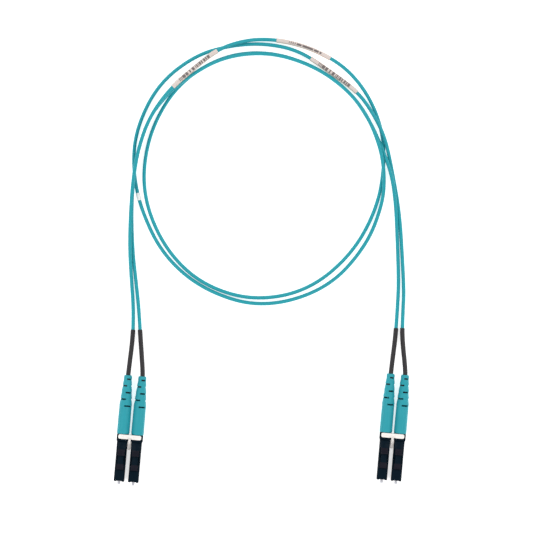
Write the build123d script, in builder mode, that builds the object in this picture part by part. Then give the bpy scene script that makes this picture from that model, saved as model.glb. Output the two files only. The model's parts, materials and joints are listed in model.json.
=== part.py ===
from build123d import *
import math
import os

# Duplex fibre optic patch cord. Each end has two small form factor plugs (6.25 mm apart) held
# side by side by a white clip. Two jacketed fibres join them and lie on the table in a loose ring.
# Frame: Z = 0 is the table, +X runs from the left pair of plugs to the right pair, and +Y runs
# from the plugs towards the ring. The origin is the middle of the plugs' footprint.

# ---------------------------------------------------------------- driving dimensions (mm)
plug_pitch = 6.25            # between the two plugs of a pair
plug_tilt = -5.0             # degrees that each pair is turned about Z
pair_spacing = 114.5         # left pair to right pair, along X
pair_step = 0.65             # how much further back the right pair lies
pairs_middle = (-1.78, -32.3) # middle of the four nose faces
axis_height = 2.85           # plug axis above the table

body_w = 4.52                # square section of a plug
shoulder = 0.5               # sloping long edges on top of a plug
lower_corner_r = 0.25
nose_relief = 0.22           # shallow channel down the nose face
nose_relief_w = 2.5
top_recess = 0.22            # trough under the latch
nose_len = 4.8               # full-height nose in front of the latch
housing_len = 13.9
ferrule_r = 0.6245
ferrule_stand_out = 1.45     # ferrule beyond the nose
ferrule_land = 4.9           # the ground diameter ends here, and the pressed-in tail starts
ferrule_tail_r = 0.46        # tail held by the flange
ferrule_end = 6.3

spring_r = 1.2               # middle of the wire to the plug's axis
spring_wire_r = 0.13
spring_turns = 5
spring_start = 6.56          # first and last middle of the wire
spring_end = 12.24

latch_pivot = (5.5, 2.45)    # distance behind the nose, height above the axis
trigger_pivot = (16.9, 2.75)
bead_r = 0.36                # rounded root of the latch and of the trigger
seat_r = 0.42                # the seat that it turns in
latch_w = 3.1
beam_w = 2.4
trigger_root_w = 4.2

collar_start = 17.2
clip_start = 18.5
collar_end = 20.6
collar_ramp = 0.9
collar_w = 5.1
clip_w = 10.0
clip_top = 3.0               # above the plug axis
clip_corner_r = 0.75         # ends of the bars, seen from above
clip_edge_r = 0.25
groove_len = 8.2             # shallow line along the top bar
groove_w = 0.36
groove_depth = 0.15
notch_w = 2.5                # notch in the front of the top bar, above the stem
notch_root_w = 1.2
notch_depth = 0.7
stem_front = 14.0            # the stem between the bodies ends here
stem_low = -1.4              # underside and top of the stem, from the plug axis
stem_top = 2.1
clip_neck = 1.6              # half height of the collar inside the clip
fit_gap = 0.05               # between snapped or stacked plastic parts

boot_start = 20.7
boot_full = 32.6             # the full width ends here and the taper starts
boot_end = 46.4
boot_step = 0.06             # each ring of the tail is this much slimmer at its rear edge
boot_bore_r = 1.12           # round the sleeve
boot_mouth_r = 1.22
crimp_room_r = 1.7           # wider bore over the crimp
boot_front_d = 5.5
boot_rear_d = 3.3
slot_pitch = 2.93
slot_first = 32.95           # middle of the foremost slot
slot_width = 0.7
slot_count = 5

cord_d = 1.6
sleeve_d = 2.06
sleeve_bore_r = 0.86
sleeve_start = 28.0          # hidden end of the sleeve, inside the boot
sleeve_bend = 48.2           # where the sleeve turns down and aside, just behind the boot
sleeve_bend_r = 18.0
sleeve_tail = 4.0            # its last stretch, in line with the free fibre
jacket_hidden_end = 24.6     # the fibre's jacket ends here, in the crimp
label_d = 2.1
label_bore_r = 0.86
label_len = 25.0
marker_d = 2.0
marker_len = 3.3

# The two fibres, from the end of a left sleeve to the end of a right one. 1 joins the outer left
# plug to the inner right plug, and 2 joins the inner left plug to the outer right plug.
floor = cord_d / 2
on_label = 1.07              # axis height where a label rests on the table
route_1 = [
    (-56.1, 33.6, 1.06),
    (-55.8, 42.2, floor),
    (-56.9, 57.1, 1.10),
    (-57.5, 70.2, 3.00),
    (-57.0, 85.0, 4.40),
    (-56.0, 99.0, 4.50),
    (-53.8, 112.1, 4.50),
    (-49.0, 126.1, 4.40),
    (-39.9, 138.7, 4.40),
    (-29.3, 147.8, 4.00),
    (-19.4, 155.6, 3.40),
    (-9.6, 159.3, 2.80),
    (0.7, 160.6, 1.30),
    (12.9, 159.2, on_label),
    (25.6, 154.8, on_label),
    (37.3, 147.6, on_label),
    (46.7, 136.1, floor),
    (52.6, 121.5, floor),
    (53.8, 106.4, floor),
    (50.7, 87.2, floor),
    (39.7, 66.7, floor),
    (20.5, 50.7, floor),
    (-3.3, 46.2, floor),
    (-25.3, 52.9, floor),
    (-40.7, 67.0, floor),
    (-50.0, 86.1, floor),
    (-51.9, 103.8, floor),
    (-47.4, 123.5, floor),
    (-35.8, 141.6, floor),
    (-17.0, 153.7, floor),
    (3.5, 155.8, floor),
    (23.8, 149.0, floor),
    (38.6, 137.6, floor),
    (47.2, 125.0, 1.20),
    (52.4, 113.2, 2.90),
    (56.8, 101.6, 2.80),
    (58.6, 88.1, 2.10),
    (59.3, 72.8, 0.90),
    (59.9, 54.0, floor),
    (59.3, 42.7, floor),
    (58.7, 34.3, 1.06),
]
route_2 = [
    (-53.0, 33.6, 1.06),
    (-53.5, 42.7, floor),
    (-54.8, 54.9, floor),
    (-56.2, 67.1, floor),
    (-56.7, 83.7, 2.60),
    (-56.0, 99.0, 2.80),
    (-53.8, 112.1, 2.80),
    (-49.0, 126.1, 2.60),
    (-42.1, 135.2, 2.50),
    (-33.8, 142.8, 2.50),
    (-17.0, 153.2, 2.50),
    (3.5, 155.4, 2.50),
    (22.9, 149.2, 2.50),
    (37.3, 138.5, 2.60),
    (45.9, 127.4, 4.40),
    (51.5, 114.1, 4.50),
    (53.6, 102.5, 2.80),
    (53.1, 89.0, 2.00),
    (45.6, 69.7, floor),
    (28.2, 51.0, floor),
    (0.2, 43.0, floor),
    (-25.1, 50.7, floor),
    (-42.9, 65.8, floor),
    (-52.8, 86.3, 1.15),
    (-56.3, 104.7, 0.90),
    (-54.6, 121.7, floor),
    (-45.2, 140.7, floor),
    (-29.3, 153.2, floor),
    (-14.2, 157.6, floor),
    (1.1, 158.7, floor),
    (16.4, 155.5, 1.30),
    (29.9, 146.3, 1.90),
    (42.1, 137.3, 2.10),
    (48.9, 127.6, 2.80),
    (53.9, 117.5, 2.40),
    (57.0, 103.4, 0.90),
    (60.3, 84.6, floor),
    (61.6, 63.2, floor),
    (62.2, 50.0, floor),
    (61.8, 42.6, floor),
    (61.5, 34.3, 1.06),
]
label_starts = {"label_a": (1, 162.3), "label_b": (2, 521.4), "label_c": (1, 110.5)}
marker_start = 396.3


# ---------------------------------------------------------------- helpers
def station(distance):
    """A plane across the plug, this far behind its nose, seen from the cord's side."""
    return Plane(origin=(0, distance, 0), x_dir=(-1, 0, 0), z_dir=(0, 1, 0))


def ring_profile(start, end, inner, outer):
    """Half section of a ring about the plug's axis, for revolving about Y."""
    Polyline((start, inner), (end, inner), (end, outer), (start, outer), close=True)


def body_section(sketch, width):
    """A plug's square section, with two sloping edges on top and two rounded ones below."""
    Rectangle(width, width)
    chamfer(sketch.vertices().group_by(Axis.Y)[-1], shoulder)
    fillet(sketch.vertices().group_by(Axis.Y)[0], lower_corner_r)


def corner_radii(points):
    """The largest arc that each corner's two runs allow."""
    radii = []
    for before, corner, after in zip(points, points[1:], points[2:]):
        run_in = Vector(*corner) - Vector(*before)
        run_out = Vector(*after) - Vector(*corner)
        half_turn = math.radians(run_in.get_angle(run_out)) / 2
        radii.append(0.45 * min(run_in.length, run_out.length) / math.tan(half_turn))
    return radii


def route_wire(points, largest=math.inf):
    """Straight runs joined by tangent arcs, as one wire."""
    with BuildLine() as path:
        FilletPolyline(*points, radius=[min(radius, largest) for radius in corner_radii(points)])
    return path.wires()[0]


def start_plane(wire):
    return Plane(origin=wire @ 0, z_dir=wire % 0)


# ---------------------------------------------------------------- one plug, nose at Y = 0
with BuildPart() as plug_housing:
    with BuildSketch(station(0)) as nose_section:
        body_section(nose_section, body_w)
    extrude(amount=housing_len)
    with BuildSketch(station(0)):
        Rectangle(nose_relief_w, body_w + 0.2)
    extrude(amount=nose_relief, mode=Mode.SUBTRACT)
    with BuildSketch(Plane.XY.offset(body_w / 2)):
        with Locations((0, (nose_len + housing_len) / 2)):
            Rectangle(latch_w + 0.2, housing_len - nose_len)
    extrude(amount=-top_recess, mode=Mode.SUBTRACT)
    with BuildSketch(Plane.YZ):
        with Locations((latch_pivot[0], latch_pivot[1] - 0.3)):
            Rectangle(1.25, 0.6)
    extrude(amount=(latch_w + 0.3) / 2, both=True)
    with BuildSketch(Plane.YZ):
        with Locations(latch_pivot):
            Circle(seat_r)
    extrude(amount=body_w / 2, both=True, mode=Mode.SUBTRACT)
    for side in (-1, 1):
        with BuildSketch(Plane.YZ.offset(side * body_w / 2)):
            with Locations((9.9, -0.6)):
                RectangleRounded(4.6, 2.2, 0.3)
        extrude(amount=-side * 0.25, mode=Mode.SUBTRACT)
    with BuildSketch(Plane.YZ):
        with BuildLine():
            ring_profile(-0.1, 4.95, 0, 1.35)
        make_face()
    revolve(axis=Axis.Y, mode=Mode.SUBTRACT)
    with BuildSketch(Plane.YZ):
        with BuildLine():
            ring_profile(4.95, housing_len + 0.1, 0, 1.6)
        make_face()
    revolve(axis=Axis.Y, mode=Mode.SUBTRACT)

with BuildPart() as latch:
    with BuildSketch(Plane.YZ):
        with BuildLine():
            Polyline(
                (5.25, 2.62),
                (5.55, 2.98),
                (7.3, 3.64),
                (7.95, 3.72),
                (12.7, 4.29),
                (13.15, 4.18),
                (13.05, 3.78),
                (7.6, 3.02),
                (6.1, 2.74),
                (5.7, 2.55),
                close=True,
            )
        make_face()
    extrude(amount=beam_w / 2, both=True)
    with BuildSketch(Plane.YZ):
        with BuildLine():
            Polyline(
                (5.25, 2.62),
                (5.55, 2.98),
                (7.3, 3.64),
                (7.6, 3.64),
                (7.6, 3.02),
                (6.1, 2.74),
                close=True,
            )
        make_face()
    extrude(amount=latch_w / 2, both=True)
    with BuildSketch(Plane.YZ):
        with BuildLine():
            Polyline((7.6, 3.02), (7.6, 3.46), (9.1, 3.5), (9.4, 3.28), close=True)
        make_face()
    extrude(amount=(beam_w + 0.36) / 2, both=True)
    with BuildSketch(Plane.YZ):
        with Locations(latch_pivot):
            Circle(bead_r)
    extrude(amount=latch_w / 2, both=True)

with BuildPart() as rear_body:
    with BuildSketch(station(housing_len + fit_gap)) as front_section:
        body_section(front_section, body_w + 0.03)
    extrude(amount=collar_start - housing_len - fit_gap)
    with BuildSketch(station(collar_start)) as collar_front:
        body_section(collar_front, body_w + 0.03)
    with BuildSketch(station(collar_start + collar_ramp)) as ramp_section:
        body_section(ramp_section, collar_w)
    loft()
    with BuildSketch(station(collar_start + collar_ramp)) as collar_section:
        body_section(collar_section, collar_w)
    extrude(amount=collar_end - collar_start - collar_ramp)
    for side in (-1, 1):
        with BuildSketch(Plane.YZ):
            with Locations(((clip_start + collar_end) / 2 + 0.1, side * (clip_neck + 1.0))):
                Rectangle(collar_end - clip_start + 0.2, 2.0)
        extrude(amount=collar_w / 2, both=True, mode=Mode.SUBTRACT)
    with BuildSketch(Plane.YZ):
        with Locations((trigger_pivot[0], trigger_pivot[1] - 0.35)):
            Rectangle(1.25, 0.7)
    extrude(amount=(trigger_root_w + 0.3) / 2, both=True)
    with BuildSketch(Plane.YZ):
        with Locations(trigger_pivot):
            Circle(seat_r)
    extrude(amount=body_w, both=True, mode=Mode.SUBTRACT)
    with BuildSketch(Plane.YZ):
        with BuildLine():
            ring_profile(housing_len - 0.1, 18.35, 0, 1.6)
        make_face()
    revolve(axis=Axis.Y, mode=Mode.SUBTRACT)
    with BuildSketch(Plane.YZ):
        with BuildLine():
            ring_profile(18.35, collar_end + 0.1, 0, 1.25)
        make_face()
    revolve(axis=Axis.Y, mode=Mode.SUBTRACT)

with BuildPart() as trigger:
    with BuildSketch(Plane.YZ):
        with BuildLine():
            Polyline(
                (17.1, 3.05),
                (16.2, 3.52),
                (14.2, 4.5),
                (12.7, 5.06),
                (11.8, 5.16),
                (11.55, 4.9),
                (11.8, 4.62),
                (13.0, 4.46),
                (14.2, 3.98),
                (16.2, 3.14),
                (16.65, 2.95),
                close=True,
            )
        make_face()
    extrude(amount=latch_w / 2, both=True)
    with BuildSketch(Plane.YZ):
        with BuildLine():
            Polyline(
                (17.1, 3.05),
                (16.2, 3.52),
                (14.6, 4.3),
                (14.6, 3.82),
                (16.2, 3.14),
                (16.65, 2.95),
                close=True,
            )
        make_face()
    extrude(amount=trigger_root_w / 2, both=True)
    for ridge in ((12.05, 5.14), (12.7, 5.05), (13.35, 4.82)):
        with BuildSketch(Plane.YZ):
            with Locations(ridge):
                Circle(0.13)
        extrude(amount=latch_w / 2 - 0.35, both=True)
    with BuildSketch(Plane.YZ):
        with Locations(trigger_pivot):
            Circle(bead_r)
    extrude(amount=trigger_root_w / 2, both=True)

with BuildPart() as ferrule:
    with BuildSketch(Plane.YZ):
        with BuildLine():
            Polyline(
                (-ferrule_stand_out, 0),
                (-ferrule_stand_out, ferrule_r),
                (ferrule_land, ferrule_r),
                (ferrule_land, ferrule_tail_r),
                (ferrule_end, ferrule_tail_r),
                (ferrule_end, 0),
                close=True,
            )
        make_face()
    revolve(axis=Axis.Y)
    chamfer(ferrule.edges().filter_by(GeomType.CIRCLE).sort_by(Axis.Y)[0], 0.12)

with BuildPart() as ferrule_flange:
    with BuildSketch(Plane.YZ):
        with BuildLine():
            Polyline(
                (5.0, ferrule_tail_r),
                (5.0, 1.35),
                (5.15, 1.5),
                (6.4, 1.5),
                (6.4, 0.9),
                (10.2, 0.9),
                (10.2, 0.56),
                (6.35, 0.56),
                (6.35, ferrule_tail_r),
                close=True,
            )
        make_face()
    revolve(axis=Axis.Y)

with BuildPart() as spring:
    with BuildLine():
        coil = Helix(
            pitch=(spring_end - spring_start) / spring_turns,
            height=spring_end - spring_start,
            radius=spring_r,
            center=(0, spring_start, 0),
            direction=(0, 1, 0),
        )
    with BuildSketch(Plane(origin=coil @ 0, z_dir=coil % 0)):
        Circle(spring_wire_r)
    sweep(path=coil, is_frenet=True)

with BuildPart() as crimp_body:
    with BuildSketch(Plane.YZ):
        with BuildLine():
            Polyline(
                (12.4, 0.98),
                (12.4, 1.4),
                (12.55, 1.55),
                (18.3, 1.55),
                (18.3, 1.2),
                (24.5, 1.2),
                (24.5, 0.5),
                (14.0, 0.5),
                (14.0, 0.98),
                close=True,
            )
        make_face()
    revolve(axis=Axis.Y)
    for groove in (21.4, 22.2, 23.0, 23.8):
        with BuildSketch(Plane.YZ):
            with BuildLine():
                ring_profile(groove, groove + 0.35, 1.1, 1.3)
            make_face()
        revolve(axis=Axis.Y, mode=Mode.SUBTRACT)

with BuildPart() as crimp_sleeve:
    with BuildSketch(Plane.YZ):
        with BuildLine():
            Polyline(
                (20.9, 1.25),
                (20.9, 1.6),
                (24.7, 1.6),
                (25.4, 1.15),
                (27.2, 1.15),
                (27.2, 0.86),
                (25.2, 0.86),
                (24.6, 1.25),
                close=True,
            )
        make_face()
    revolve(axis=Axis.Y)

with BuildPart() as fibre_buffer:
    with BuildSketch(Plane.YZ):
        with BuildLine():
            ring_profile(7.6, 24.55, 0, 0.45)
        make_face()
    revolve(axis=Axis.Y)


def boot_radius(distance):
    taper = (distance - boot_full) / (boot_end - boot_full)
    return (boot_front_d + (boot_rear_d - boot_front_d) * max(0.0, taper)) / 2


slots = [slot_first + slot_pitch * level for level in range(slot_count)]
with BuildPart() as boot:
    # The taper is a row of short rings, each a little wider at its front edge.
    outline = [(boot_start, boot_front_d / 2 - 0.25), (boot_start + 0.25, boot_front_d / 2)]
    for middle in slots:
        outline.append((middle - slot_width / 2, boot_radius(middle - slot_width / 2) - boot_step))
        outline.append((middle + slot_width / 2, boot_radius(middle - slot_width / 2) + 0.02))
    outline += [(boot_end - 0.2, boot_rear_d / 2), (boot_end, boot_rear_d / 2 - 0.2)]
    bore = [(boot_end, boot_mouth_r), (boot_end - 1.5, boot_bore_r), (27.6, boot_bore_r)]
    bore += [(27.3, 1.25), (25.2, crimp_room_r), (boot_start, crimp_room_r)]
    with BuildSketch(Plane.YZ):
        with BuildLine():
            Polyline(*outline, *bore, close=True)
        make_face()
    revolve(axis=Axis.Y)
    reach = boot_front_d
    for level, middle in enumerate(slots):
        if level % 2:
            first_window, window_arc = -54, 112
        else:
            first_window, window_arc = 26, 68
        for window in (first_window, first_window + 180):
            with BuildSketch(station(middle - slot_width / 2)):
                with BuildLine():
                    corners = [(0, 0)]
                    for turn in (-0.5, -0.25, 0, 0.25, 0.5):
                        angle = math.radians(window + turn * window_arc)
                        corners.append((-reach * math.sin(angle), reach * math.cos(angle)))
                    Polyline(*corners, close=True)
                make_face()
            extrude(amount=slot_width, mode=Mode.SUBTRACT)

with BuildPart() as duplex_clip:
    # two bars in the collars' channels, joined by a web in the gap between the plugs
    clip_len = collar_end - clip_start - 2 * fit_gap
    clip_middle = (clip_start + collar_end) / 2
    web_w = plug_pitch - collar_w - 2 * fit_gap
    stem_w = plug_pitch - body_w - 0.14
    for low, high in ((clip_neck + fit_gap, clip_top), (-axis_height, -clip_neck - fit_gap)):
        with BuildSketch(Plane.XY.offset(low)):
            with Locations((0, clip_middle)):
                RectangleRounded(clip_w, clip_len, clip_corner_r)
        extrude(amount=high - low)
    fillet(duplex_clip.edges().group_by(Axis.Z)[-1], clip_edge_r)
    fillet(duplex_clip.edges().group_by(Axis.Z)[0], clip_edge_r)
    with BuildSketch(station(clip_start + fit_gap)):
        Rectangle(web_w, 2 * clip_neck + 0.6)
    extrude(amount=clip_len)
    # the stem reaches forward from the web, between the two bodies
    with BuildSketch(station(collar_start - 0.1)):
        with Locations((0, (stem_low + stem_top) / 2)):
            Rectangle(web_w, stem_top - stem_low)
    extrude(amount=clip_start - collar_start + 0.4)
    with BuildSketch(Plane.XY.offset(stem_low)):
        with BuildLine():
            Polyline(
                (-stem_w / 2, collar_start - 0.1),
                (stem_w / 2, collar_start - 0.1),
                (stem_w / 2 - 0.25, stem_front),
                (-stem_w / 2 + 0.25, stem_front),
                close=True,
            )
        make_face()
    extrude(amount=stem_top - stem_low)
    with BuildSketch(Plane.XY.offset(stem_top)):
        with BuildLine():
            Polyline(
                (-notch_w / 2, clip_start),
                (notch_w / 2, clip_start),
                (notch_root_w / 2, clip_start + fit_gap + notch_depth),
                (-notch_root_w / 2, clip_start + fit_gap + notch_depth),
                close=True,
            )
        make_face()
    extrude(amount=clip_top - stem_top, mode=Mode.SUBTRACT)
    with BuildSketch(Plane.XY.offset(clip_top)):
        with Locations((0, clip_middle)):
            RectangleRounded(groove_len, groove_w, groove_w / 2 - 0.01)
    extrude(amount=-groove_depth, mode=Mode.SUBTRACT)

plug_pieces = {
    "plug_housing": plug_housing,
    "latch": latch,
    "rear_body": rear_body,
    "trigger": trigger,
    "ferrule": ferrule,
    "ferrule_flange": ferrule_flange,
    "spring": spring,
    "crimp_body": crimp_body,
    "crimp_sleeve": crimp_sleeve,
    "fibre_buffer": fibre_buffer,
    "boot": boot,
}

# ---------------------------------------------------------------- place the plugs and export them
os.makedirs("parts", exist_ok=True)
pairs = {}
for side, sign in (("left", -1), ("right", 1)):
    pair_x = pairs_middle[0] + sign * pair_spacing / 2
    pair_y = pairs_middle[1] + sign * pair_step / 2
    pairs[side] = Location((pair_x, pair_y, axis_height), (0, 0, plug_tilt))
cord_ends = {
    "left_1": (route_1[0], route_1[1]),
    "left_2": (route_2[0], route_2[1]),
    "right_1": (route_1[-1], route_1[-2]),
    "right_2": (route_2[-1], route_2[-2]),
}
for side, pair in pairs.items():
    placed_clip = duplex_clip.part.moved(pair)
    placed_clip.label = f"duplex_clip_{side}"
    export_step(placed_clip, f"parts/{placed_clip.label}.step")
    for number, across in ((1, -plug_pitch / 2), (2, plug_pitch / 2)):
        end = f"{side}_{number}"
        place = pair * Location((across, 0, 0))
        for name, piece in plug_pieces.items():
            placed = piece.part.moved(place)
            placed.label = f"{name}_{end}"
            export_step(placed, f"parts/{placed.label}.step")

        # The sleeve and the jacket inside it leave the boot straight, droop to the table and
        # meet the free fibre face to face, in the fibre's own direction.
        cord_start = Vector(*cord_ends[end][0])
        back_along_cord = (cord_start - Vector(*cord_ends[end][1])).normalized()
        bends = [
            (place * Location((0, sleeve_bend, 0))).position,
            cord_start + back_along_cord * sleeve_tail,
            cord_start,
        ]
        jacket_start = (place * Location((0, jacket_hidden_end, 0))).position
        sleeve_front = (place * Location((0, sleeve_start, 0))).position
        jacket_wire = route_wire([jacket_start, *bends], largest=sleeve_bend_r)
        sleeve_wire = route_wire([sleeve_front, *bends], largest=sleeve_bend_r)
        with BuildPart() as heat_shrink_sleeve:
            with BuildSketch(start_plane(sleeve_wire)):
                Circle(sleeve_d / 2)
                Circle(sleeve_bore_r, mode=Mode.SUBTRACT)
            sweep(path=sleeve_wire)
        heat_shrink_sleeve.part.label = f"heat_shrink_sleeve_{end}"
        export_step(heat_shrink_sleeve.part, f"parts/{heat_shrink_sleeve.part.label}.step")
        with BuildPart() as jacket_end:
            with BuildSketch(start_plane(jacket_wire)):
                Circle(cord_d / 2)
            sweep(path=jacket_wire)
        jacket_end.part.label = f"jacket_end_{end}"
        export_step(jacket_end.part, f"parts/{jacket_end.part.label}.step")

# ---------------------------------------------------------------- the two free fibres
cord_wires = {}
for number, route in ((1, route_1), (2, route_2)):
    cord_wires[number] = route_wire(route)
    with BuildPart() as fibre_cord:
        with BuildSketch(start_plane(cord_wires[number])):
            Circle(cord_d / 2)
        sweep(path=cord_wires[number])
    fibre_cord.part.label = f"fibre_cord_{number}"
    export_step(fibre_cord.part, f"parts/{fibre_cord.part.label}.step")
    length = cord_wires[number].length
    expected = length * math.pi * (cord_d / 2) ** 2
    share = fibre_cord.part.volume / expected
    print(f"fibre {number}: {length:.1f} mm long, volume {share:.4f} of section x length")
    print("  arc radii:", " ".join(f"{radius:.0f}" for radius in corner_radii(route)))


def along(wire, start, length):
    """The stretch of a fibre's path that a label or a band covers."""
    return wire.trim(start / wire.length, (start + length) / wire.length)


bands = {name: (number, start, label_len, label_d) for name, (number, start) in label_starts.items()}
bands["marker_band"] = (2, marker_start, marker_len, marker_d)
for name, (number, start, length, diameter) in bands.items():
    stretch = along(cord_wires[number], start, length)
    with BuildPart() as band:
        with BuildSketch(start_plane(stretch)):
            Circle(diameter / 2)
            Circle(label_bore_r, mode=Mode.SUBTRACT)
        sweep(path=stretch)
    band.part.label = name
    export_step(band.part, f"parts/{name}.step")
    print(name, "from", stretch @ 0, "to", stretch @ 1)
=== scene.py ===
# %% [markdown]
# # A duplex fibre optic patch cord
# Two aqua fibres lie in a loose ring on a table. Each end has a pair of dark latched plugs with
# aqua boots, held side by side by a white clip. The mechanical model is loaded first as a fixed
# frame, in metres, and everything made here goes where that frame says.

# %% Load the frame
import bpy
import json
import math
from mathutils import Matrix, Vector


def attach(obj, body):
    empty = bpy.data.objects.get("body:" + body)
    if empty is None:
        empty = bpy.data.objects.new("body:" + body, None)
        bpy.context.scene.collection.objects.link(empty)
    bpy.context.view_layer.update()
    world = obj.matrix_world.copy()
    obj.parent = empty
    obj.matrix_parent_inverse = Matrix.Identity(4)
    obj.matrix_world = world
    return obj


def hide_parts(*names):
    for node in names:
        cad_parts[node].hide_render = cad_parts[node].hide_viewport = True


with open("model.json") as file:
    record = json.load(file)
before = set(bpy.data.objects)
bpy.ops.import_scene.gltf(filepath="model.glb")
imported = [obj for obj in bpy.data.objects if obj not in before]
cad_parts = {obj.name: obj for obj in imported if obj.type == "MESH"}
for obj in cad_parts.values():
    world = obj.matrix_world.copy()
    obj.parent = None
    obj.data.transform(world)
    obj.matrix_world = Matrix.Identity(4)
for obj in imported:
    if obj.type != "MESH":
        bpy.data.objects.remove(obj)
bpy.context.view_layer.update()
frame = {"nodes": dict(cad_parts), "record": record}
record = frame["record"]
MM = 0.001

# %% [markdown]
# ## Camera
# The cord is a flat thing that is laid out to be seen from above, so the camera looks straight
# down. A long lens from far away keeps the plugs from leaning outwards, as a catalogue picture
# does. The lens is worked out from the width of table that should fill the frame.

# %% Camera
SENSOR = 36.0
VIEW_WIDTH = 232.8 * MM
VIEW_CENTRE = (2.18 * MM, 61.2 * MM)
CAMERA_HEIGHT = 1.5
bpy.ops.object.camera_add(location=(*VIEW_CENTRE, CAMERA_HEIGHT), rotation=(0, 0, 0))
camera = bpy.context.object
camera.name = "camera"
camera.data.sensor_width = SENSOR
camera.data.lens = SENSOR * CAMERA_HEIGHT / VIEW_WIDTH
bpy.context.scene.camera = camera
print("lens", round(camera.data.lens, 1), "mm")

# %% [markdown]
# ## The two fibres
# Each fibre is a jacket 1.6 mm across, held by a plug at both ends. It goes round the ring about
# one and a half times and crosses itself and its neighbour in low humps. It could be swept as a
# mesh, but a NURBS curve is better: its control points pull the line smoothly, as a springy cable
# bends, and the points can still be moved by hand. The curve is quadratic and clamped, so that it
# starts and ends exactly at the plugs' sleeves. Order and clamping are set after the points exist.
# A curve's bounding box grows by each point's radius, which starts at a whole metre. So the points
# carry the cable's real radius, the bevel depth is 1 to match, and the box comes out right.

# %% Cord routes, in millimetres
FLOOR = 0.8
ON_LABEL = 1.07
CORD_RADIUS = 0.8 * MM
ROUTES = {
    1: [
        (-56.1, 33.6, 1.06), (-55.8, 42.2, FLOOR), (-56.9, 57.1, 1.10), (-57.5, 70.2, 3.00),
        (-57.0, 85.0, 4.40), (-56.0, 99.0, 4.50), (-53.8, 112.1, 4.50), (-49.0, 126.1, 4.40),
        (-39.9, 138.7, 4.40), (-29.3, 147.8, 4.00), (-19.4, 155.6, 3.40), (-9.6, 159.3, 2.80),
        (0.7, 160.6, 1.30), (12.9, 159.2, ON_LABEL), (25.6, 154.8, ON_LABEL),
        (37.3, 147.6, ON_LABEL), (46.7, 136.1, FLOOR), (52.6, 121.5, FLOOR),
        (53.8, 106.4, FLOOR), (50.7, 87.2, FLOOR), (39.7, 66.7, FLOOR), (20.5, 50.7, FLOOR),
        (-3.3, 46.2, FLOOR), (-25.3, 52.9, FLOOR), (-40.7, 67.0, FLOOR), (-50.0, 86.1, FLOOR),
        (-51.9, 103.8, FLOOR), (-47.4, 123.5, FLOOR), (-35.8, 141.6, FLOOR),
        (-17.0, 153.2, FLOOR), (3.5, 155.2, FLOOR), (23.8, 148.5, FLOOR), (38.6, 137.6, FLOOR),
        (47.2, 125.0, 1.20), (52.4, 113.2, 2.90), (56.8, 101.6, 2.80), (58.6, 88.1, 2.10),
        (59.3, 72.8, 0.90), (59.9, 54.0, FLOOR), (59.3, 42.7, FLOOR), (58.7, 34.3, 1.06),
    ],
    2: [
        (-53.0, 33.6, 1.06), (-53.5, 42.7, FLOOR), (-54.8, 54.9, FLOOR), (-56.2, 67.1, FLOOR),
        (-56.7, 83.7, 2.60), (-56.0, 99.0, 2.80), (-53.8, 112.1, 2.80), (-49.0, 126.1, 2.60),
        (-42.1, 135.2, 2.50), (-33.8, 142.8, 2.50), (-17.0, 152.7, 2.50), (3.5, 154.8, 2.50),
        (22.9, 148.7, 2.50), (37.3, 138.5, 2.60), (45.9, 127.4, 4.40), (51.5, 114.1, 4.50),
        (53.6, 102.5, 2.80), (53.1, 89.0, 2.00), (45.6, 69.7, FLOOR), (28.2, 51.0, FLOOR),
        (0.2, 43.0, FLOOR), (-25.1, 50.7, FLOOR), (-42.9, 65.8, FLOOR), (-52.8, 86.3, 1.15),
        (-56.3, 104.7, 0.90), (-54.6, 121.7, FLOOR), (-45.2, 140.7, FLOOR),
        (-29.3, 153.2, FLOOR), (-14.2, 157.6, FLOOR), (1.1, 158.7, FLOOR), (16.4, 155.5, 1.30),
        (29.9, 146.3, 1.90), (42.1, 137.3, 2.10), (48.9, 127.6, 2.80), (53.9, 117.5, 2.40),
        (57.0, 103.4, 0.90), (60.3, 84.6, FLOOR), (61.6, 63.2, FLOOR), (62.2, 50.0, FLOOR),
        (61.8, 42.6, FLOOR), (61.5, 34.3, 1.06),
    ],
}


# %% Curve helpers
def nurbs_curve(name, points, radius=0.0):
    """A clamped quadratic curve through the table's space, as a round cable if it has a radius."""
    data = bpy.data.curves.new(name, "CURVE")
    data.dimensions = "3D"
    data.resolution_u = 16
    data.bevel_depth = 1.0 if radius else 0.0
    data.bevel_resolution = 6
    data.use_fill_caps = True
    spline = data.splines.new("NURBS")
    spline.points.add(len(points) - 1)
    for point, place in zip(spline.points, points):
        point.co = (*place, 1.0)
        point.radius = radius
    spline.order_u = 3
    spline.use_endpoint_u = True
    curve = bpy.data.objects.new(name, data)
    bpy.context.collection.objects.link(curve)
    return curve


def curve_line(name, points):
    """The points that such a curve really runs through, read from one that has no thickness."""
    bare = nurbs_curve(name + "_line", points)
    mesh = bpy.data.meshes.new_from_object(bare)
    line = [vertex.co.copy() for vertex in mesh.vertices]
    bpy.data.meshes.remove(mesh)
    bpy.data.objects.remove(bare)
    return line


def line_length(line):
    return sum((b - a).length for a, b in zip(line, line[1:]))


# %% Make the cords
cords = {}
cord_lines = {}
for number, route in ROUTES.items():
    points = [Vector(point) * MM for point in route]
    cords[number] = nurbs_curve(f"jacketed_fibre_{number}", points, CORD_RADIUS)
    cord_lines[number] = curve_line(cords[number].name, points)
    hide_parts(f"fibre_cord_{number}")
    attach(cords[number], "cord_assembly")
    print("fibre", number, round(line_length(cord_lines[number]) * 1000, 1), "mm")

# %% [markdown]
# ## Working helpers
# The loader leaves its nodes selected and an operator acts on everything that is selected, so
# each piece starts by deselecting. A finished piece sits at the origin with its place in its mesh.


# %% Selection and finishing helpers
def start_clean():
    if bpy.context.object and bpy.context.object.mode != "OBJECT":
        bpy.ops.object.mode_set(mode="OBJECT")
    bpy.ops.object.select_all(action="DESELECT")


def make_active(piece):
    start_clean()
    piece.select_set(True)
    bpy.context.view_layer.objects.active = piece


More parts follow.
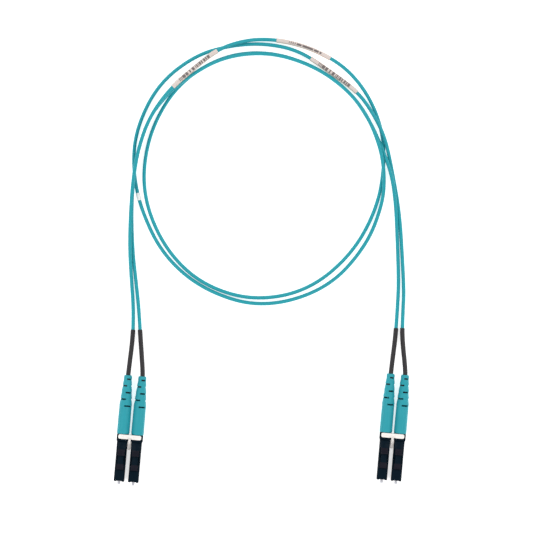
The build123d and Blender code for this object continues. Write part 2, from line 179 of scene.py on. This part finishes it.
def apply_modifier(piece, kind, **settings):
    """Adds a modifier with these settings and applies it at once."""
    make_active(piece)
    modifier = piece.modifiers.new(kind.lower(), kind)
    for name, value in settings.items():
        setattr(modifier, name, value)
    bpy.ops.object.modifier_apply(modifier=modifier.name)


def smooth(piece, degrees=35):
    make_active(piece)
    bpy.ops.object.shade_smooth_by_angle(angle=math.radians(degrees))


SAME_POINT = 0.001 * MM


def clean_up(piece, distance):
    """Merges doubles and turns every face outwards."""
    make_active(piece)
    bpy.ops.object.mode_set(mode="EDIT")
    bpy.ops.mesh.select_all(action="SELECT")
    bpy.ops.mesh.remove_doubles(threshold=distance)
    bpy.ops.mesh.normals_make_consistent(inside=False)
    bpy.ops.object.mode_set(mode="OBJECT")


def describe(piece):
    print(piece.name, len(piece.data.polygons), "faces")


# %% [markdown]
# ## Where the plugs are
# Each plug's ferrule is a mount in the record, with a point on its axis and a direction. That is
# enough to find the plug: its nose is 1 mm in front of that point, and it runs straight back.
# Modelling one plug piece in this local frame and copying it puts all four exactly in place.

# %% Plug frames
MOUNT_BEHIND_NOSE = 1.0 * MM
PLUG_ENDS = ("left_1", "left_2", "right_1", "right_2")
mounts = {mount["name"]: mount for mount in record["mounts"]}
plug_frames = {}
for end in PLUG_ENDS:
    mount = mounts[f"ferrule_tip_{end}"]
    back = -Vector(mount["axis"]).normalized()
    up = Vector((0, 0, 1))
    nose = Vector(mount["pos_m"]) - back * MOUNT_BEHIND_NOSE
    across = back.cross(up)
    plug_frames[end] = Matrix.Translation(nose) @ Matrix((across, back, up)).transposed().to_4x4()
print({end: [round(x * 1000, 2) for x in place.translation] for end, place in plug_frames.items()})


# %% Placing copies
def place_copies(model, node_name):
    """One copy of a piece for each plug, with its own mesh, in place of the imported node."""
    made = {}
    for end, place in plug_frames.items():
        mesh = model.data.copy()
        mesh.transform(place)
        piece = bpy.data.objects.new(f"{node_name}_shell_{end}", mesh)
        bpy.context.collection.objects.link(piece)
        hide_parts(f"{node_name}_{end}")
        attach(piece, "cord_assembly")
        made[end] = piece
    bpy.data.objects.remove(model)
    return made


# %% [markdown]
# ## Boots
# A boot is a soft moulded sleeve that keeps the fibre from kinking where it leaves the plug. Its
# front is a plain tube, and its tail is cut by staggered windows, so that it bends evenly. It is
# extruded ring by ring from a circle, the windows' faces are deleted, and only then does Solidify
# give the wall its thickness: that makes the windows' own walls as well, which cutting a finished
# tube with booleans would do less cleanly.

# %% Boot dimensions
BOOT_START = 20.7
BOOT_FULL = 32.6
BOOT_END = 46.4
BOOT_FRONT_R = 2.75
BOOT_REAR_R = 1.66
BOOT_WALL = 0.42
BOOT_EDGE = 0.06
WINDOW_SUNK = 0.07
RIDGE = 0.04
WINDOW_FIRST = 32.95
WINDOW_PITCH = 2.93
WINDOW_WIDTH = 0.66
WINDOW_COUNT = 5
RING_SIDES = 72
# middle angle and arc of the windows, from the top towards the right, on alternate levels
WINDOW_ARCS = ((26, 68), (-54, 112))


def boot_radius(distance):
    taper = max(0.0, (distance - BOOT_FULL) / (BOOT_END - BOOT_FULL))
    return BOOT_FRONT_R + (BOOT_REAR_R - BOOT_FRONT_R) * taper


windows = [WINDOW_FIRST + WINDOW_PITCH * level for level in range(WINDOW_COUNT)]
boot_rings = [(BOOT_START, BOOT_FRONT_R - 0.22), (BOOT_START + 0.25, BOOT_FRONT_R - 0.04)]
boot_rings += [(BOOT_START + 0.8, BOOT_FRONT_R), (BOOT_START + 6.3, BOOT_FRONT_R - 0.02)]
for middle in windows:
    front, rear = middle - WINDOW_WIDTH / 2, middle + WINDOW_WIDTH / 2
    boot_rings += [(front, boot_radius(front) - WINDOW_SUNK), (rear, boot_radius(rear))]
    boot_rings.append((rear + 0.25, boot_radius(rear) + RIDGE))
boot_rings += [(BOOT_END - 0.25, BOOT_REAR_R + 0.02), (BOOT_END, BOOT_REAR_R - 0.16)]

# %% Extrude the boot's rings
start_clean()
bpy.ops.mesh.primitive_circle_add(
    vertices=RING_SIDES,
    radius=boot_rings[0][1] * MM,
    location=(0, boot_rings[0][0] * MM, 0),
    rotation=(math.radians(90), 0, 0),
)
boot_model = bpy.context.object
bpy.ops.object.transform_apply(location=True, rotation=True, scale=True)
bpy.ops.object.mode_set(mode="EDIT")
bpy.ops.mesh.select_all(action="SELECT")
for (before, radius_before), (distance, radius) in zip(boot_rings, boot_rings[1:]):
    step = (0, (distance - before) * MM, 0)
    bpy.ops.mesh.extrude_region_move(TRANSFORM_OT_translate={"value": step})
    grow = radius / radius_before
    centre = (0, distance * MM, 0)
    bpy.ops.transform.resize(value=(grow, 1, grow), center_override=centre)
bpy.ops.object.mode_set(mode="OBJECT")

# %% Open the windows
boot_mesh = boot_model.data
for element in (*boot_mesh.polygons, *boot_mesh.edges, *boot_mesh.vertices):
    element.select = False
for face in boot_mesh.polygons:
    centre = face.center / MM
    turn = math.degrees(math.atan2(centre.x, centre.z))
    for level, middle in enumerate(windows):
        if abs(centre.y - middle) > WINDOW_WIDTH * 0.4:
            continue
        arc_middle, arc = WINDOW_ARCS[level % 2]
        for opposite in (0, 180):
            away = (turn - arc_middle - opposite + 180) % 360 - 180
            if abs(away) < arc / 2:
                face.select = True
bpy.ops.object.mode_set(mode="EDIT")
bpy.ops.mesh.select_mode(type="FACE")
bpy.ops.mesh.delete(type="FACE")
bpy.ops.object.mode_set(mode="OBJECT")
clean_up(boot_model, SAME_POINT)
apply_modifier(boot_model, "SOLIDIFY", thickness=BOOT_WALL * MM, offset=-1)
apply_modifier(boot_model, "BEVEL", width=BOOT_EDGE * MM, segments=2, limit_method="ANGLE")
smooth(boot_model)
describe(boot_model)
boots = place_copies(boot_model, "boot")

# %% [markdown]
# ## Moulded plug shells
# The housings, the latches, the triggers and the white clip are moulded. Their faces are flat and
# exact in the mechanical model, but a mould leaves every edge slightly round, and that thin round
# edge is what catches the light. A copy of each node is merged, its flat faces are joined up again,
# and a narrow bevel rounds what is left. The bevel can leave two points in one place, so the copy
# is merged a second time, which keeps it closed.

# %% Round the edges of the moulded pieces
BODY_OF = {"latch": "latch_{end}", "trigger": "trigger_{end}"}
EDGE_RADII = {"plug_housing": 0.09, "rear_body": 0.08, "latch": 0.07, "trigger": 0.07}
CLIP_EDGE_RADIUS = 0.06
FLAT_WITHIN = math.radians(1.5)
SHARP_ABOVE = 40


def moulded_copy(node_name, piece_name, edge_radius, body):
    mesh = frame["nodes"][node_name].data.copy()
    mesh.materials.clear()
    piece = bpy.data.objects.new(piece_name, mesh)
    bpy.context.collection.objects.link(piece)
    clean_up(piece, 2 * SAME_POINT)
    bpy.ops.object.mode_set(mode="EDIT")
    bpy.ops.mesh.select_all(action="SELECT")
    bpy.ops.mesh.dissolve_limited(angle_limit=FLAT_WITHIN)
    bpy.ops.object.mode_set(mode="OBJECT")
    apply_modifier(
        piece, "BEVEL", width=edge_radius * MM, segments=2, limit_method="ANGLE",
        angle_limit=math.radians(SHARP_ABOVE), use_clamp_overlap=True,
    )
    clean_up(piece, SAME_POINT)
    smooth(piece, SHARP_ABOVE)
    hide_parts(node_name)
    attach(piece, body)
    describe(piece)
    return piece


plug_shells = []
for end in PLUG_ENDS:
    for kind, edge in EDGE_RADII.items():
        node = f"{kind}_{end}"
        body = BODY_OF.get(kind, "cord_assembly").format(end=end)
        plug_shells.append(moulded_copy(node, f"moulded_{node}", edge, body))

# %% [markdown]
# ## Distances along the levers
# A latch's lug and the end of a trigger are painted lighter, partly as wear from use and partly as
# a painted highlight where their faces catch the light, and their finish has to know where that is.
# Painting whole faces would not do, because the large flat ones run past the lighter part. So
# every point of a lever carries its distance behind the nose. Blender blends that number across a
# face, and a distance along a straight line stays right when it is blended.


# %% Measure along the plug
def mark_distance(piece, end):
    """An attribute that says how far each point lies behind the plug's nose, in millimetres."""
    to_plug = plug_frames[end].inverted()
    marks = piece.data.attributes.new("behind_nose", "FLOAT", "POINT")
    for vertex, mark in zip(piece.data.vertices, marks.data):
        mark.value = (to_plug @ vertex.co).y / MM


levers = []
for piece in plug_shells:
    for kind in BODY_OF:
        if f"_{kind}_" in piece.name:
            mark_distance(piece, piece.name.split(f"_{kind}_")[1])
            levers.append(piece)
print(len(levers), "levers measured")

# %% [markdown]
# ## White clips
# One white clip holds the two plugs of an end side by side, so that they enter a port together. It
# could be built up from boxes, but the mechanical model already has its rounded bars, the notch and
# the line along its top. So it is copied and rounded as the plugs are, with a smaller edge radius
# because its bars are thin.

# %% The white clips
clips = []
for side in ("left", "right"):
    node = f"duplex_clip_{side}"
    name = f"moulded_clip_{side}"
    clips.append(moulded_copy(node, name, CLIP_EDGE_RADIUS, "cord_assembly"))

# %% [markdown]
# ## Wraps along the fibres
# The labels are printed film wound a little more than once round the jacket, so the film's loose
# edge runs along it as a fine line. The marker band and the heat-shrink sleeves are closed tubes.
# All of them start as a flat grid, which brings its own UV map, and are rolled round the line that
# the cord really follows. Prints can then use that map: U runs along the cord and V goes round it.


# %% Rolling a grid round a line
def point_along(line, distance):
    """The place and the direction this far along a line."""
    for a, b in zip(line, line[1:]):
        step = (b - a).length
        if distance <= step:
            return a + (b - a) * (distance / step), (b - a).normalized()
        distance -= step
    return line[-1].copy(), (line[-1] - line[-2]).normalized()


def roll_wrap(name, line, start, length, inner_r, outer_r, turns, wall, along, around, first=0):
    """A grid rolled round a line, from inner_r out to outer_r.

    It starts at the line's right-hand side, or this many degrees above it.
    """
    start_clean()
    bpy.ops.mesh.primitive_grid_add(x_subdivisions=along, y_subdivisions=around, size=1)
    piece = bpy.context.object
    piece.name = name
    for vertex in piece.data.vertices:
        u, v = vertex.co.x + 0.5, vertex.co.y + 0.5
        centre, forward = point_along(line, start + u * length)
        side = forward.cross(Vector((0, 0, 1))).normalized()
        lift = side.cross(forward)
        turn = 2 * math.pi * turns * v + math.radians(first)
        radius = inner_r + (outer_r - inner_r) * v
        vertex.co = centre + (side * math.cos(turn) + lift * math.sin(turn)) * radius
    if turns == 1:
        clean_up(piece, SAME_POINT)
    apply_modifier(piece, "SOLIDIFY", thickness=wall, offset=-1)
    smooth(piece, 50)
    describe(piece)
    return piece


# %% Labels and marker band
LABEL_LENGTH = 25.0 * MM
FILM_TURNS = 1.1
FILM_FIRST = -16
LABELS = {"label_a": (1, 162.3), "label_b": (2, 521.4), "label_c": (1, 110.5)}
MARKER_START = 396.3 * MM
MARKER_LENGTH = 3.3 * MM
wraps = {}
for name, (number, start) in LABELS.items():
    wraps[name] = roll_wrap(
        f"film_{name}", cord_lines[number], start * MM, LABEL_LENGTH,
        inner_r=0.97 * MM, outer_r=1.05 * MM, turns=FILM_TURNS, wall=0.07 * MM,
        along=70, around=44, first=FILM_FIRST,
    )
wraps["marker_band"] = roll_wrap(
    "white_marker_band", cord_lines[2], MARKER_START, MARKER_LENGTH,
    inner_r=1.0 * MM, outer_r=1.0 * MM, turns=1, wall=0.16 * MM, along=12, around=44,
)
for node, piece in wraps.items():
    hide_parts(node)
    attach(piece, "cord_assembly")

# %% [markdown]
# ## What the cords are
# The fibres are the only free cords here, and they could be laid out in another way. For each one,
# the labels and the band that sit on it, and have to go where it goes, are gathered in a list.

for number in cords:
    on_it = [wraps[name] for name, (owner, start) in LABELS.items() if owner == number]
    on_it += [wraps["marker_band"]] if number == 2 else []

# %% [markdown]
# ## Heat-shrink sleeves
# A dark sleeve is shrunk over the jacket where it comes out of the boot. It follows the fibre down
# to the table and ends in a clean cut, so it is rolled round its own short line: straight out of
# the boot, a gentle bend, and then into the direction of the free fibre.

# %% Sleeves
SLEEVE_BEND = 48.2
SLEEVE_TAIL = 4.0
SLEEVE_FRONT = 36.0
SLEEVE_STRAIGHT = 3.0
SLEEVE_RADIUS = 1.03 * MM
CORD_ENDS = {
    "left_1": (ROUTES[1][0], ROUTES[1][1]),
    "left_2": (ROUTES[2][0], ROUTES[2][1]),
    "right_1": (ROUTES[1][-1], ROUTES[1][-2]),
    "right_2": (ROUTES[2][-1], ROUTES[2][-2]),
}
sleeves = {}
for end, (cord_start, next_point) in CORD_ENDS.items():
    first = Vector(cord_start) * MM
    towards_plug = (first - Vector(next_point) * MM).normalized()
    route = [
        plug_frames[end] @ Vector((0, SLEEVE_FRONT * MM, 0)),
        plug_frames[end] @ Vector((0, (SLEEVE_BEND - SLEEVE_STRAIGHT) * MM, 0)),
        plug_frames[end] @ Vector((0, SLEEVE_BEND * MM, 0)),
        first + towards_plug * SLEEVE_TAIL * MM,
        first,
    ]
    line = curve_line(f"sleeve_{end}", route)
    sleeves[end] = roll_wrap(
        f"shrunk_sleeve_{end}", line, 0.0, line_length(line),
        inner_r=SLEEVE_RADIUS, outer_r=SLEEVE_RADIUS, turns=1, wall=0.17 * MM,
        along=60, around=40,
    )
    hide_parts(f"heat_shrink_sleeve_{end}")
    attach(sleeves[end], "cord_assembly")


# %% [markdown]
# ## Shared surface effects
# Moulded plastic and cable jackets share one effect: a very fine grain that breaks up the gloss,
# over a slow drift in tone. It is built once as a node group that puts out only masks and heights,
# and each material sets its own scale. The shader itself stays in the material.


# %% The grain group
def add_socket(group, name, direction, kind="NodeSocketFloat", value=None):
    socket = group.interface.new_socket(name=name, in_out=direction, socket_type=kind)
    if value is not None:
        socket.default_value = value


def build_grain():
    group = bpy.data.node_groups.new("moulded_grain", "ShaderNodeTree")
    add_socket(group, "Vector", "INPUT", "NodeSocketVector")
    add_socket(group, "Grain Scale", "INPUT", value=3000.0)
    add_socket(group, "Drift Scale", "INPUT", value=120.0)
    add_socket(group, "Drift", "OUTPUT")
    add_socket(group, "Height", "OUTPUT")
    nodes, links = group.nodes, group.links
    inlet, outlet = nodes.new("NodeGroupInput"), nodes.new("NodeGroupOutput")
    fine, slow = nodes.new("ShaderNodeTexNoise"), nodes.new("ShaderNodeTexNoise")
    fine.inputs["Detail"].default_value = 3
    slow.inputs["Detail"].default_value = 2
    for noise, scale in ((fine, "Grain Scale"), (slow, "Drift Scale")):
        links.new(inlet.outputs["Vector"], noise.inputs["Vector"])
        links.new(inlet.outputs[scale], noise.inputs["Scale"])
    links.new(fine.outputs["Fac"], outlet.inputs["Height"])
    links.new(slow.outputs["Fac"], outlet.inputs["Drift"])
    return group


GRAIN = build_grain()


def linear(red, green, blue):
    """A screen colour of 0 to 255 as the linear colour that a shader works in."""
    channels = []
    for value in (red, green, blue):
        share = value / 255
        low = share / 12.92
        channels.append(low if share <= 0.04045 else ((share + 0.055) / 1.055) ** 2.4)
    return (*channels, 1.0)


def plastic(name, colour, drifted, roughness, grain=3000.0, drift=120.0, bump=0.15, specular=0.5):
    """Base colour drifting between two tones, roughness that varies with it, and a fine grain."""
    material = bpy.data.materials.new(name)
    material.use_nodes = True
    nodes, links = material.node_tree.nodes, material.node_tree.links
    shader = nodes["Principled BSDF"]
    shader.inputs["Specular IOR Level"].default_value = specular
    place = nodes.new("ShaderNodeTexCoord")
    effect = nodes.new("ShaderNodeGroup")
    effect.node_tree = GRAIN
    effect.inputs["Grain Scale"].default_value = grain
    effect.inputs["Drift Scale"].default_value = drift
    links.new(place.outputs["Object"], effect.inputs["Vector"])
    tone = nodes.new("ShaderNodeMix")
    tone.data_type = "RGBA"
    tone.inputs["A"].default_value = colour
    tone.inputs["B"].default_value = drifted
    links.new(effect.outputs["Drift"], tone.inputs["Factor"])
    links.new(tone.outputs["Result"], shader.inputs["Base Color"])
    gloss = nodes.new("ShaderNodeMapRange")
    gloss.inputs["To Min"].default_value = roughness - 0.06
    gloss.inputs["To Max"].default_value = roughness + 0.06
    links.new(effect.outputs["Drift"], gloss.inputs["Value"])
    links.new(gloss.outputs["Result"], shader.inputs["Roughness"])
    relief = nodes.new("ShaderNodeBump")
    relief.inputs["Strength"].default_value = bump
    relief.inputs["Distance"].default_value = 0.02 * MM
    links.new(effect.outputs["Height"], relief.inputs["Height"])
    links.new(relief.outputs["Normal"], shader.inputs["Normal"])
    return material


# %% [markdown]
# ## Printed film
# The real labels carry a bar code or a line of numbers. Neither is copied: the print here is a row
# of bars of uneven width, or of short dashes, which says "printed label" and nothing else. It is
# drawn from the wrap's UV map by rounding U down into narrow cells and giving each a random value.


# %% Label material
def math_node(nodes, links, operation, first, second=None):
    node = nodes.new("ShaderNodeMath")
    node.operation = operation
    for socket, value in zip(node.inputs, (first, second)):
        if isinstance(value, (int, float)):
            socket.default_value = value
        elif value is not None:
            links.new(value, socket)
    return node.outputs["Value"]


FILM = linear(221, 209, 203)
FILM_DRIFTED = linear(209, 194, 186)
INK = linear(112, 102, 100)
# The beige at both edges of the film is a painted shade, where the edges lie along the cord's side.
FILM_EDGE_SHADE = linear(196, 158, 120)
INNER_EDGE, LOOSE_EDGE = 0.035, 0.955


def printed_film(name, cells, share_inked, print_from, print_to, band):
    """Cream film with ink where U is in the printed stretch and V is within the band on top, and a
    painted beige shade along the film's two edges.
    """
    material = plastic(name, FILM, FILM_DRIFTED, 0.38, drift=200.0, bump=0.05)
    nodes, links = material.node_tree.nodes, material.node_tree.links
    shader = nodes["Principled BSDF"]
    film_colour = shader.inputs["Base Color"].links[0].from_socket
    uv = nodes.new("ShaderNodeUVMap")
    split = nodes.new("ShaderNodeSeparateXYZ")
    links.new(uv.outputs["UV"], split.inputs["Vector"])
    along, around = split.outputs["X"], split.outputs["Y"]
    cell = math_node(nodes, links, "FLOOR", math_node(nodes, links, "MULTIPLY", along, cells))
    dice = nodes.new("ShaderNodeTexWhiteNoise")
    dice.noise_dimensions = "1D"
    links.new(cell, dice.inputs["W"])
    ink = math_node(nodes, links, "LESS_THAN", dice.outputs["Value"], share_inked)
    for test, socket, limit in (
        ("GREATER_THAN", along, print_from), ("LESS_THAN", along, print_to),
        ("GREATER_THAN", around, band[0]), ("LESS_THAN", around, band[1]),
    ):
        inside = math_node(nodes, links, test, socket, limit)
        ink = math_node(nodes, links, "MULTIPLY", ink, inside)
    # A painted beige shade goes along the film's inner and loose edges.
    near_inner = math_node(nodes, links, "LESS_THAN", around, INNER_EDGE)
    near_loose = math_node(nodes, links, "GREATER_THAN", around, LOOSE_EDGE)
    edge = math_node(nodes, links, "MAXIMUM", near_inner, near_loose)
    printed = nodes.new("ShaderNodeMix")
    printed.data_type = "RGBA"
    links.new(film_colour, printed.inputs["A"])
    printed.inputs["B"].default_value = INK
    links.new(ink, printed.inputs["Factor"])
    edge_shaded = nodes.new("ShaderNodeMix")
    edge_shaded.data_type = "RGBA"
    links.new(printed.outputs["Result"], edge_shaded.inputs["A"])
    edge_shaded.inputs["B"].default_value = FILM_EDGE_SHADE
    links.new(edge, edge_shaded.inputs["Factor"])
    links.new(edge_shaded.outputs["Result"], shader.inputs["Base Color"])
    return material


# %% [markdown]
# ## Metal and ceramic inside the plug
# These are seen through the nose and where the ferrule stands out. The metal is slightly uneven in
# tone, as thin plating is, and the ceramic ferrule is polished and almost white.


# %% Metal material
def turned_metal(name, colour, roughness):
    tarnished = (*[0.82 * channel for channel in colour[:3]], 1.0)
    material = plastic(name, colour, tarnished, roughness, grain=6000.0, bump=0.2)
    material.node_tree.nodes["Principled BSDF"].inputs["Metallic"].default_value = 1.0
    return material


# %% [markdown]
# ## Levers
# The lug of a latch rubs against its port, and a thumb rubs the end of the trigger. Both are
# painted a little greyer than the rest of the plug, for that wear and as a painted highlight where
# they catch the light. Each lever's mesh carries its distance behind the nose as an attribute, and
# the colour changes between two pairs of distances.


# %% Lever material
# These lighter stretches are partly wear and partly a painted highlight on faces that catch the
# light.
HIGHLIGHT_AND_RUBBED_STRETCHES = ((5.0, 7.7), (11.4, 14.1))


def highlight_and_rubbed_plastic(name, shade, colour, drifted, **settings):
    """Moulded plastic that turns to another shade where it is rubbed: wear, and a painted
    highlight.
    """
    material = plastic(name, colour, drifted, **settings)
    nodes, links = material.node_tree.nodes, material.node_tree.links
    shader = nodes["Principled BSDF"]
    behind_nose = nodes.new("ShaderNodeAttribute")
    behind_nose.attribute_name = "behind_nose"
    distance = behind_nose.outputs["Fac"]
    stretches = []
    for start, end in HIGHLIGHT_AND_RUBBED_STRETCHES:
        after_start = math_node(nodes, links, "GREATER_THAN", distance, start)
        before_end = math_node(nodes, links, "LESS_THAN", distance, end)
        stretches.append(math_node(nodes, links, "MULTIPLY", after_start, before_end))
    highlight_and_wear = nodes.new("ShaderNodeMix")
    highlight_and_wear.data_type = "RGBA"
    links.new(math_node(nodes, links, "MAXIMUM", *stretches), highlight_and_wear.inputs["Factor"])
    links.new(shader.inputs["Base Color"].links[0].from_socket, highlight_and_wear.inputs["A"])
    highlight_and_wear.inputs["B"].default_value = shade
    links.new(highlight_and_wear.outputs["Result"], shader.inputs["Base Color"])
    return material


# %% [markdown]
# ## The finishes
# Jacket, boots and plugs are coloured plastics that differ in gloss: the boots are a little duller
# than the jacket, and the dark plugs reflect very little, so their specular level is low. Painted
# images would also do, but they blur from close up. Values for colour, grain and gloss stay sharp
# at any distance and are changed in one place.

# %% All the finishes
DARK = (linear(1, 18, 30), linear(4, 23, 35))
DARK_SURFACE = {"roughness": 0.42, "grain": 3500.0, "drift": 200.0, "bump": 0.2, "specular": 0.07}
finishes = {
    "jacket": plastic(
        "aqua_jacket", linear(30, 159, 171), linear(24, 151, 163), 0.46,
        grain=2500.0, drift=60.0, bump=0.12, specular=0.35,
    ),
    "boot_rubber": plastic(
        "aqua_boot", linear(44, 160, 172), linear(34, 150, 163), 0.5,
        grain=2200.0, drift=160.0, bump=0.2, specular=0.3,
    ),
    "sleeve_plastic": plastic(
        "dark_shrink", linear(41, 39, 41), linear(53, 51, 53), 0.42,
        grain=1500.0, drift=300.0, bump=0.3, specular=0.3,
    ),
    "plug_plastic": plastic("dark_plug", *DARK, **DARK_SURFACE),
    # The lever finish paints the lug and the trigger's end lighter: wear, and a painted highlight.
    "lever_plastic": highlight_and_rubbed_plastic("dark_lever", linear(27, 27, 37), *DARK, **DARK_SURFACE),
    "clip_plastic": plastic(
        "white_clip", linear(250, 246, 242), linear(243, 237, 232), 0.35, drift=150.0, bump=0.08
    ),
    "marker_plastic": plastic(
        "white_marker", linear(246, 245, 243), linear(236, 235, 233), 0.45, drift=150.0, bump=0.1
    ),
    "ceramic": plastic(
        "polished_ceramic", linear(226, 226, 232), linear(218, 218, 226), 0.16,
        grain=5000.0, drift=200.0, bump=0.02,
    ),
    "buffer_plastic": plastic("tight_buffer", linear(62, 160, 176), linear(56, 150, 168), 0.4),
    "nickel_metal": turned_metal("turned_nickel", linear(206, 203, 197), 0.28),
    "brass_sleeve": turned_metal("crimped_brass", linear(219, 201, 164), 0.3),
    "spring_steel": turned_metal("drawn_steel", linear(196, 196, 198), 0.25),
    "bars": printed_film(
        "barred_film", cells=84, share_inked=0.5, print_from=0.16, print_to=0.84, band=(0.15, 0.39)
    ),
    "dashes": printed_film(
        "dashed_film", cells=56, share_inked=0.68, print_from=0.22, print_to=0.82, band=(0.2, 0.335)
    ),
}
print(len(finishes), "finishes")


# %% Give every piece its finish
def wear(piece, material):
    piece.data.materials.clear()
    piece.data.materials.append(material)


for pieces, finish in (
    (cords.values(), "jacket"),
    (boots.values(), "boot_rubber"),
    (sleeves.values(), "sleeve_plastic"),
    (plug_shells, "plug_plastic"),
    (levers, "lever_plastic"),
    (clips, "clip_plastic"),
    ([wraps["marker_band"]], "marker_plastic"),
    ([wraps["label_a"]], "dashes"),
    ([wraps["label_b"], wraps["label_c"]], "bars"),
):
    for piece in pieces:
        wear(piece, finishes[finish])

KEPT_NODES = {
    "ferrule": "ceramic", "ferrule_flange": "nickel_metal", "spring": "spring_steel",
    "crimp_body": "nickel_metal", "crimp_sleeve": "brass_sleeve",
    "fibre_buffer": "buffer_plastic", "jacket_end": "jacket",
}
for kind, finish in KEPT_NODES.items():
    for end in PLUG_ENDS:
        for material_slot in frame["nodes"][f"{kind}_{end}"].material_slots:
            material_slot.material = finishes[finish]

# %% [markdown]
# ## Table and light
# The table is plain white and glows a little, as a light table does, so the narrow gaps between the
# plugs stay pale. Four wide lamps stand round the cord, so its shadows are soft on every side, and
# nothing bright hangs straight above it: the dark plugs would mirror such a lamp and turn grey.

# %% Table
TABLE_GLOW = 0.62
start_clean()
bpy.ops.mesh.primitive_plane_add(size=6.0, location=(0, 0, 0))
table = bpy.context.object
table.name = "table"
table_finish = plastic(
    "pale_table", linear(252, 252, 252), linear(250, 250, 250), 0.7, bump=0.0, specular=0.1
)
table_shader = table_finish.node_tree.nodes["Principled BSDF"]
table_shader.inputs["Emission Color"].default_value = (1, 1, 1, 1)
table_shader.inputs["Emission Strength"].default_value = TABLE_GLOW
wear(table, table_finish)

# %% Lamps and surroundings
LAMP_RING = 1.1
LAMP_HEIGHT = 1.0
LAMP_SIZE = 0.9
LAMP_POWER = 5.4
LAMP_HEADINGS = (35, 125, 215, 305)
SURROUNDINGS = 0.5
middle = Vector((*VIEW_CENTRE, 0))
for number, heading in enumerate(LAMP_HEADINGS):
    turn = math.radians(heading)
    place = middle + Vector((math.cos(turn) * LAMP_RING, math.sin(turn) * LAMP_RING, LAMP_HEIGHT))
    bpy.ops.object.light_add(type="AREA", location=place)
    lamp = bpy.context.object
    lamp.name = f"lamp_{number}"
    lamp.data.shape = "DISK"
    lamp.data.size = LAMP_SIZE
    lamp.data.energy = LAMP_POWER
    lamp.rotation_euler = (middle - place).to_track_quat("-Z", "Y").to_euler()
print(len(LAMP_HEADINGS), "lamps")
world = bpy.data.worlds.new("studio")
bpy.context.scene.world = world
world.use_nodes = True
background = world.node_tree.nodes["Background"]
background.inputs["Color"].default_value = (1, 1, 1, 1)
background.inputs["Strength"].default_value = SURROUNDINGS
bpy.context.scene.view_settings.view_transform = "Standard"
